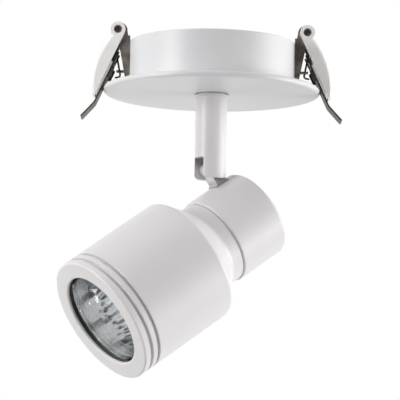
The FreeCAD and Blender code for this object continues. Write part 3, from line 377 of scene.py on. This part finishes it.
brass = turned_brass("turned_brass", BRASS, BRASS_DARK)
wear(moulded_plastic("moulded_natural_polyamide", BLOCK_WHITE, BLOCK_SHADE, BLOCK_ROUGH), "terminal_block")
wear(brass, "terminal_tubes", "holder_contacts")
wear(zinc, "terminal_screws", "block_screw", "earth_screw")

# Swivel: a hollow threaded nipple joins stem and canopy. A nut with a cupped spring washer sets the friction,
# a tabbed washer stops the turn at a peg, and a white nylon washer turns under the flange.
NIPPLE_R = 5.0
NIPPLE_BORE_R = 3.2
NIPPLE_LOW = -13.1
NIPPLE_HIGH = 6.7
THREAD_PITCH = 1.0
THREAD_DEPTH = 0.55
THREAD_CHAMFER = 0.5
THREAD_SIDES = 64
PITCH_POINTS = 10
THREAD_SHARP_DEG = 40
NYLON_WHITE = "#E9E9E8"
NYLON_SHADE = "#E2E2E0"
NYLON_ROUGH = 0.38


def threaded_tube(low, high, radius, bore):
    """Grid of a tube with an outside thread. The radius falls by the thread's depth times a triangle wave of
    height over pitch less the turn, and is cut by a 45 degree chamfer at both ends. The bore is plain."""
    rise = np.linspace(low, high, int((high - low) / THREAD_PITCH * PITCH_POINTS) + 1)[:, None]
    turn = np.linspace(0, 2 * np.pi, THREAD_SIDES, endpoint=False)[None, :]
    phase = (rise / THREAD_PITCH - turn / (2 * np.pi)) % 1.0
    edge = np.minimum(rise - low, high - rise)
    outer = np.minimum(radius - THREAD_DEPTH * np.abs(2 * phase - 1), radius - THREAD_CHAMFER + edge)
    inner_rise = np.array([high, low])[:, None]
    size = np.vstack([outer, np.full((2, THREAD_SIDES), bore)])
    height = np.vstack([np.repeat(rise, THREAD_SIDES, 1), np.repeat(inner_rise, THREAD_SIDES, 1)])
    turn = np.repeat(turn, len(size), 0)
    return np.stack([size * np.cos(turn), size * np.sin(turn), height], -1)


nipple = surface("threaded_nipple", threaded_tube(NIPPLE_LOW, NIPPLE_HIGH, NIPPLE_R, NIPPLE_BORE_R),
                 close_rows=True)
nipple.data.set_sharp_from_angle(angle=math.radians(THREAD_SHARP_DEG))
nipple.data.materials.append(zinc)
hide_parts("stem_nipple")
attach(nipple, "stem")
wear(zinc, "stem_nut", "stop_washer", "spring_washer")
wear(moulded_plastic("white_nylon", NYLON_WHITE, NYLON_SHADE, NYLON_ROUGH), "swivel_washer", "knuckle_washers")

# Stem: a turned aluminium bar, bored for the leads, with a slotted and rounded foot that makes the fork.
# It has the same satin powder coat as the head, a trace warmer than the canopy's, with painted shade inside the
# slot.
HEAD_WHITE = "#E8E6E6"
HEAD_SHADE = "#E3E0E0"
# Painted shade: the stem's paint is drawn towards the near black below wherever its own faces stand within
# FORK_DEPTH_MM of each other, most deeply in the slot.
FORK_DEPTH_MM = 6.0
FORK_PAINTED_SHADE = "#1E1C1B"
wear(powder_coat("satin_white_powder_coat_fork", HEAD_WHITE, HEAD_SHADE, FORK_DEPTH_MM, FORK_PAINTED_SHADE,
                 own_corners=True), "stem_tube")

# Knuckle: the head's cast tongue sits between two nylon washers in the fork, on a socket-head screw.
# Its stud goes through the rear housing's wall and is held by a nut inside.
# Painted shade: the tongue's paint is drawn towards the same near black within TONGUE_GAP_MM of any part, in
# the fork's slot and at its foot.
TONGUE_GAP_MM = 5.0
wear(zinc, "pivot_screw", "tongue_nut")
wear(powder_coat("satin_white_powder_coat_tongue", HEAD_WHITE, HEAD_SHADE, TONGUE_GAP_MM, FORK_PAINTED_SHADE),
     "knuckle_tongue")

# Rear housing: a deep cup, turned from aluminium and powder coated. It slides over the barrel's spigot
# and is held there by two zinc-plated grub screws.
HEAD_PAINTED_SHADE = "#C6C4C2"   # painted shade in the head's grooves and corners, paler than at the canopy's corners
head_coat = powder_coat("satin_white_powder_coat_warm", HEAD_WHITE, HEAD_SHADE, CORNER_MM, HEAD_PAINTED_SHADE)
wear(head_coat, "rear_housing")
wear(zinc, "housing_screws")

# Front barrel: a cast aluminium tube with a coned shoulder, powder coated outside and in.
# It is threaded at its mouth for the front ring.
wear(head_coat, "front_barrel")

# Lampholder: a pressed steatite block with two pin wells and brass contacts, on a strap screwed to the
# barrel's bulkhead. Steatite is fired bare, so it is matt and a little creamy. The lamp's base is the same.
STEATITE = "#E6E0D4"
STEATITE_SHADE = "#DAD3C5"
STEATITE_ROUGH = 0.7
wear(moulded_plastic("fired_steatite", STEATITE, STEATITE_SHADE, STEATITE_ROUGH), "lampholder", "lamp_base")
wear(zinc, "holder_bracket", "bracket_screws", "lamp_pins")

# Reflector lamp: a pressed glass bowl, vapour coated with a mirror inside. Rings of small pillowed facets
# spread the beam. A quartz capsule stands in the neck, and a glass disc closes the front.
PIVOT_Z = -37.7
HEAD_TURN_DEG = 208.0
HEAD_TILT_DEG = 35.0
AXIS_DROP = 28.9
LAMP_FACE = 83.45
RIM_BACK = 80.65
BOWL_BACK = 52.45
LAMP_R = 25.2
BOWL_FRONT_R = 24.4
BOWL_NECK_R = 10.5
BOWL_SWELL = 0.18
BOWL_WALL = 1.4
NECK_HOLE_R = 5.35
GLASS_SEAT = 81.55
GLASS_SEAT_R = 23.3
FACET_RINGS = 11
FACETS_ROUND = 40
FACET_GRID = 5
FACET_PILLOW = 0.4
FACET_SPACING = 1.5    # rings grow wider towards the mouth by this power
SMOOTH_RINGS = 5.0     # over these last rings the facets fade out
FACET_SHARP_DEG = 9
BACK_POINTS = 20
MIRROR_SHADE = "#EDEEF1"
MIRROR_LIGHT = "#F8F8F9"
MIRROR_ROUGH = (0.02, 0.07)
MIRROR_DRIFT_MM = 6.0
PIT_MM = 0.5
PIT_DEPTH_MM = 0.08
PIT_STRENGTH = 0.2
GLASS_WAVE_MM = 7.0
GLASS_ROUGH = (0.0, 0.03)


def on_head(along, across, above):
    """Points of the head's own frame: along its axis from the pivot's foot, across it and above it.
    They are dropped below the pivot, tilted about Y, turned about Z and hung on the pivot."""
    tilt = math.radians(HEAD_TILT_DEG)
    turn = math.radians(HEAD_TURN_DEG)
    high = above - AXIS_DROP
    x = along * math.cos(tilt) + high * math.sin(tilt)
    z = -along * math.sin(tilt) + high * math.cos(tilt)
    return np.stack([x * math.cos(turn) - across * math.sin(turn),
                     x * math.sin(turn) + across * math.cos(turn), z + PIVOT_Z], -1)


def bowl_radius(along):
    """Radius of the bowl: the square root of the way from neck to rim, a little fuller in the middle."""
    t = np.clip((along - BOWL_BACK) / (RIM_BACK - BOWL_BACK), 0, 1)
    return BOWL_NECK_R + (BOWL_FRONT_R - BOWL_NECK_R) * np.sqrt(t) * (1 + BOWL_SWELL - BOWL_SWELL * t)


def faceted_bowl():
    """Grid of the whole bowl: neck hole, facets, glass seat, rim and back. On a facet the radius is that of
    a flat chord, less a pillow of (1 - u^2)(1 - v^2) that stands into the bowl. Both fade out to the rim."""
    start = BOWL_BACK + 2 * BOWL_WALL
    columns = FACETS_ROUND * FACET_GRID
    step = np.arange(FACET_RINGS * FACET_GRID + 1) / FACET_GRID
    along = start + (GLASS_SEAT - start) * (step / FACET_RINGS) ** FACET_SPACING
    turn = 2 * np.pi * np.arange(columns) / columns
    u = 2 * (step % 1.0) - 1
    v = 2 * ((np.arange(columns) / FACET_GRID) % 1.0) - 1
    half = np.pi / FACETS_ROUND
    chord = np.cos(half) / np.cos(v * half)
    fade = np.clip((FACET_RINGS - step) / SMOOTH_RINGS, 0, 1)[:, None] ** 2
    pillow = FACET_PILLOW * np.outer(1 - u ** 2, 1 - v ** 2)
    plain = (bowl_radius(along - BOWL_WALL / 2) - BOWL_WALL)[:, None]
    inner = plain * (1 - fade * (1 - chord[None, :])) - fade * pillow
    back_along = BOWL_BACK + (RIM_BACK - BOWL_BACK) * np.linspace(1, 0, BACK_POINTS) ** 2
    plain_along = np.concatenate([
        [GLASS_SEAT, LAMP_FACE, LAMP_FACE, RIM_BACK], back_along, [BOWL_BACK, start]])
    plain_r = np.concatenate([
        [GLASS_SEAT_R, GLASS_SEAT_R, LAMP_R, LAMP_R], bowl_radius(back_along), [NECK_HOLE_R, NECK_HOLE_R]])
    size = np.vstack([inner, np.repeat(plain_r[:, None], columns, 1)])
    place = np.repeat(np.concatenate([along, plain_along])[:, None], columns, 1)
    return on_head(place, size * np.cos(turn), size * np.sin(turn))


def turned_on_head(along, radius, columns):
    """Grid of a surface of revolution about the head's axis."""
    turn = np.linspace(0, 2 * np.pi, columns, endpoint=False)
    place = np.repeat(np.asarray(along, float)[:, None], columns, 1)
    size = np.asarray(radius, float)[:, None]
    return on_head(place, size * np.cos(turn), size * np.sin(turn))


def mirror_coat(name):
    """Vapour-coated mirror on pressed glass: bright metal with tiny pits and a cool tint that drifts."""
    finish, tree, place = new_finish(name)
    drift = noise(tree, place, MIRROR_DRIFT_MM, 2.0)
    pits = noise(tree, place, PIT_MM, 2.0)
    return show(finish, {
        "Base Color": mix(tree, drift, linear(MIRROR_SHADE), linear(MIRROR_LIGHT)), "Metallic": 1.0,
        "Roughness": spread(tree, pits, *MIRROR_ROUGH),
        "Normal": relief(tree, pits, PIT_STRENGTH, PIT_DEPTH_MM)})


def clear_glass(name, tint, ior):
    """Clear glass, with a trace of pressed waviness in its roughness."""
    finish, tree, place = new_finish(name)
    wave = noise(tree, place, GLASS_WAVE_MM, 1.0)
    return show(finish, {"Base Color": linear(tint), "Roughness": spread(tree, wave, *GLASS_ROUGH),
                         "IOR": ior, "Transmission Weight": 1.0})


bowl = surface("faceted_reflector", faceted_bowl(), close_rows=True)
bowl.data.set_sharp_from_angle(angle=math.radians(FACET_SHARP_DEG))
bowl.data.materials.append(mirror_coat("vapour_coated_mirror"))
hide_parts("lamp_reflector")
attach(bowl, "head")

CAPSULE_FROM = 52.5
CAPSULE_TO = 69.5
CAPSULE_R = 5.25
CAPSULE_SIDES = 48
QUARTZ_WALL = 0.9
QUARTZ_TINT = "#F2F3F4"
QUARTZ_IOR = 1.46
NOSE_POINTS = 14
POLE_R = 0.02          # the nose ends in a tiny flat, so that no face has zero size
nose = np.linspace(0, np.pi / 2, NOSE_POINTS)
tip = CAPSULE_TO - CAPSULE_R
hollow_r = CAPSULE_R - QUARTZ_WALL
capsule_along = np.concatenate([
    [CAPSULE_FROM], tip + CAPSULE_R * np.sin(nose), tip + hollow_r * np.sin(nose[::-1]),
    [CAPSULE_FROM + QUARTZ_WALL, CAPSULE_FROM + QUARTZ_WALL]])
capsule_r = np.concatenate([
    [CAPSULE_R], POLE_R + (CAPSULE_R - POLE_R) * np.cos(nose),
    POLE_R + (hollow_r - POLE_R) * np.cos(nose[::-1]), [hollow_r, POLE_R]])
capsule = surface("quartz_capsule", turned_on_head(capsule_along, capsule_r, CAPSULE_SIDES))
capsule.data.materials.append(clear_glass("clear_quartz", QUARTZ_TINT, QUARTZ_IOR))
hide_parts("lamp_capsule")
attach(capsule, "head")

GLASS_R = 23.2
GLASS_BACK = 81.6
GLASS_DOME = 0.75      # the face swells by this much, as one less the cube of the way out
GLASS_CHAMFER = 0.4
GLASS_SIDES = 96
GLASS_RINGS = 24
GLASS_MIDDLE = 0.02    # share of the radius left as a flat in the middle
GLASS_SHARP_DEG = 35
GLASS_TINT = "#F3F5F4"
GLASS_IOR = 1.5
out = np.linspace(GLASS_MIDDLE, 1, GLASS_RINGS)
glass_r = np.concatenate([
    GLASS_R * out[:-1], [GLASS_R - GLASS_CHAMFER, GLASS_R, GLASS_R], GLASS_R * out[::-1][1:]])
glass_along = np.concatenate([
    LAMP_FACE + GLASS_DOME * (1 - out[:-1] ** 3), [LAMP_FACE, LAMP_FACE - GLASS_CHAMFER, GLASS_BACK],
    np.full(GLASS_RINGS - 1, GLASS_BACK)])
glass = surface("front_glass", turned_on_head(glass_along, glass_r, GLASS_SIDES))
glass.data.set_sharp_from_angle(angle=math.radians(GLASS_SHARP_DEG))
glass.data.materials.append(clear_glass("clear_soda_glass", GLASS_TINT, GLASS_IOR))
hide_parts("lamp_front_glass")
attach(glass, "head")

# Front ring: a turned cap that screws over the barrel's mouth and holds the lamp by its rim. A groove runs
# round it, and a black silicone gasket lies behind its lip.
SILICONE = "#4C4F4D"
SILICONE_ROUGH = (0.5, 0.7)
SKIN_MM = 0.6
SKIN_DEPTH_MM = 0.03
SKIN_STRENGTH = 0.15
wear(head_coat, "front_ring")
finish, tree, place = new_finish("moulded_black_silicone")
skin = noise(tree, place, SKIN_MM, 2.0)
wear(show(finish, {"Base Color": linear(SILICONE), "Roughness": spread(tree, skin, *SILICONE_ROUGH),
                   "Normal": relief(tree, skin, SKIN_STRENGTH, SKIN_DEPTH_MM)}), "ring_gasket")

# Studio: a white tent with soft boxes behind its cloth, and two bounce cards. The object hangs high above a
# pale floor. A dim room behind the camera shows only in mirrors and through glass, a dark flag only in mirrors.
TENT_PLUS = (0.94, 0.5, 0.35)      # level of the white tent towards right, back and top
TENT_MINUS = (0.3, 0.2, 0.26)      # and towards left, front and below
WHITE = (1, 1, 1, 1)
ROOM_AHEAD = (0.1, -0.99, 0.1)
ROOM_EDGE = (0.5, 0.58)            # cosines at which the room begins and is full
ROOM_SHADE = "#2A2730"
FLAG_AHEAD = (-0.71, 0.549, -0.442)
FLAG_EDGE = (0.945, 0.975)
FLAG_SHARE = 0.8


def dot(tree, first, second):
    """Dot product of two vectors, given as outputs or values."""
    return add(tree, "ShaderNodeVectorMath", {0: first, 1: second}, operation="DOT_PRODUCT").outputs["Value"]


def soft_patch(tree, direction, middle, edge, top):
    """How far a direction lies inside a soft round patch of the surroundings: a smooth step, from 0 to top,
    of the cosine between the direction and the patch's middle."""
    return add(tree, "ShaderNodeMapRange", {
        "Value": dot(tree, direction, middle), "From Min": edge[0], "From Max": edge[1], "To Max": top},
        interpolation_type="SMOOTHSTEP").outputs[0]


def shiny_rays(tree, path):
    """One on rays that a mirror or glass sends on, else zero."""
    return maths(tree, "MAXIMUM", path.outputs["Is Glossy Ray"], path.outputs["Is Transmission Ray"])


world = bpy.data.worlds.new("white_surround")
bpy.context.scene.world = world
world.use_nodes = True
tree = world.node_tree
tree.nodes.clear()
ahead = add(tree, "ShaderNodeTexCoord").outputs["Generated"]
size = add(tree, "ShaderNodeVectorMath", {0: ahead}, operation="ABSOLUTE").outputs[0]
square = add(tree, "ShaderNodeVectorMath", {0: ahead, 1: ahead}, operation="MULTIPLY").outputs[0]
signed = add(tree, "ShaderNodeVectorMath", {0: ahead, 1: size}, operation="MULTIPLY").outputs[0]
both = [(plus + minus) / 2 for plus, minus in zip(TENT_PLUS, TENT_MINUS)]
lean = [(plus - minus) / 2 for plus, minus in zip(TENT_PLUS, TENT_MINUS)]
tent = maths(tree, "ADD", dot(tree, square, both), dot(tree, signed, lean))
path = add(tree, "ShaderNodeLightPath")
shiny = shiny_rays(tree, path)
room = maths(tree, "MULTIPLY", soft_patch(tree, ahead, ROOM_AHEAD, ROOM_EDGE, 1.0), shiny)
flag = maths(tree, "MULTIPLY", soft_patch(tree, ahead, FLAG_AHEAD, FLAG_EDGE, FLAG_SHARE),
             path.outputs["Is Glossy Ray"])
colour = mix(tree, maths(tree, "MAXIMUM", room, flag), WHITE, linear(ROOM_SHADE))
seen = maths(tree, "MAXIMUM", path.outputs["Is Camera Ray"], shiny)
level = add(tree, "ShaderNodeMix", {0: seen, 2: tent, 3: 1.0}).outputs[0]
backdrop = add(tree, "ShaderNodeBackground", {"Color": colour, "Strength": level})
add(tree, "ShaderNodeOutputWorld", {"Surface": backdrop.outputs[0]})

FLOOR_Z = -1600.0
FLOOR_R = 800.0
FLOOR_SIDES = 64
FLOOR_PALE = "#DEDDDB"
FLOOR_ROUGH = 0.9
FLOOR_GLOW = 0.55      # with the light that falls on it, the floor then shows as white
turn = np.linspace(0, 2 * np.pi, FLOOR_SIDES, endpoint=False)
edge = np.stack([FLOOR_R * np.cos(turn), FLOOR_R * np.sin(turn), np.full(FLOOR_SIDES, FLOOR_Z)], -1)
mesh = bpy.data.meshes.new("pale_floor")
mesh.from_pydata(edge * MM, [], [list(range(FLOOR_SIDES))])
floor = bpy.data.objects.new("pale_floor", mesh)
bpy.context.scene.collection.objects.link(floor)
finish, tree, place = new_finish("pale_floor_paint")
path = add(tree, "ShaderNodeLightPath")
seen = maths(tree, "MAXIMUM", path.outputs["Is Camera Ray"], shiny_rays(tree, path))
mesh.materials.append(show(finish, {
    "Base Color": linear(FLOOR_PALE), "Roughness": FLOOR_ROUGH, "Emission Color": WHITE,
    "Emission Strength": maths(tree, "MULTIPLY", seen, FLOOR_GLOW)}))

# name, place in mm, side in mm, power in watts
SOFT_BOXES = (
    ("soft_box_right", (930, 50, -120), 500, 5.0),
    ("soft_box_right_front", (900, -250, 60), 500, 1.1),
    ("soft_box_left", (-750, -500, 20), 400, 4.0),
    ("soft_box_left_high", (-600, -250, 650), 500, 2.4),
    ("bounce_card_left", (-180, -60, -290), 200, 0.1),
    ("bounce_card_behind", (-170, 140, -120), 120, 0.13),
)
AIM = np.array([0, 0, -50.0])
for name, spot, size, power in SOFT_BOXES:
    lamp = bpy.data.lights.new(name, "AREA")
    lamp.size = size * MM
    lamp.energy = power
    box = bpy.data.objects.new(name, lamp)
    away = np.array(spot) - AIM
    away /= np.linalg.norm(away)
    side = np.cross((0, 0, 1), away)
    side /= np.linalg.norm(side)
    pose = np.eye(4)
    pose[:3, 0] = side
    pose[:3, 1] = np.cross(away, side)
    pose[:3, 2] = away
    pose[:3, 3] = np.array(spot) * MM
    box.matrix_world = Matrix(pose.tolist())
    box.visible_camera = False
    box.visible_glossy = box.visible_transmission = not name.startswith("bounce")
    bpy.context.scene.collection.objects.link(box)

# Camera: the photograph's place, found by fitting the object's outlines.
# It looks up a little and leans by a degree.
VIEW_RISE_DEG = 7.604
VIEW_ROLL_DEG = 1.062
VIEW_DISTANCE = 1382.5
VIEW_AIM = np.array([-4.461, 0, -52.09])
FOCAL_PX = 3003.7
FRAME_PX = 400
SENSOR_MM = 36.0
NEAREST_M = 0.05
rise = math.radians(VIEW_RISE_DEG)
roll = math.radians(VIEW_ROLL_DEG)
ahead = np.array([0, math.cos(rise), math.sin(rise)])
level_right = np.array([1.0, 0, 0])
level_up = np.array([0, -math.sin(rise), math.cos(rise)])
pose = np.eye(4)
pose[:3, 0] = math.cos(roll) * level_right + math.sin(roll) * level_up
pose[:3, 1] = math.cos(roll) * level_up - math.sin(roll) * level_right
pose[:3, 2] = -ahead
pose[:3, 3] = (VIEW_AIM - VIEW_DISTANCE * ahead) * MM
view = bpy.data.cameras.new("photo_camera")
view.sensor_width = SENSOR_MM
view.lens = SENSOR_MM * FOCAL_PX / FRAME_PX
view.clip_start = NEAREST_M
camera = bpy.data.objects.new("photo_camera", view)
camera.matrix_world = Matrix(pose.tolist())
bpy.context.scene.collection.objects.link(camera)
bpy.context.scene.camera = camera
bpy.context.scene.view_settings.view_transform = "Standard"
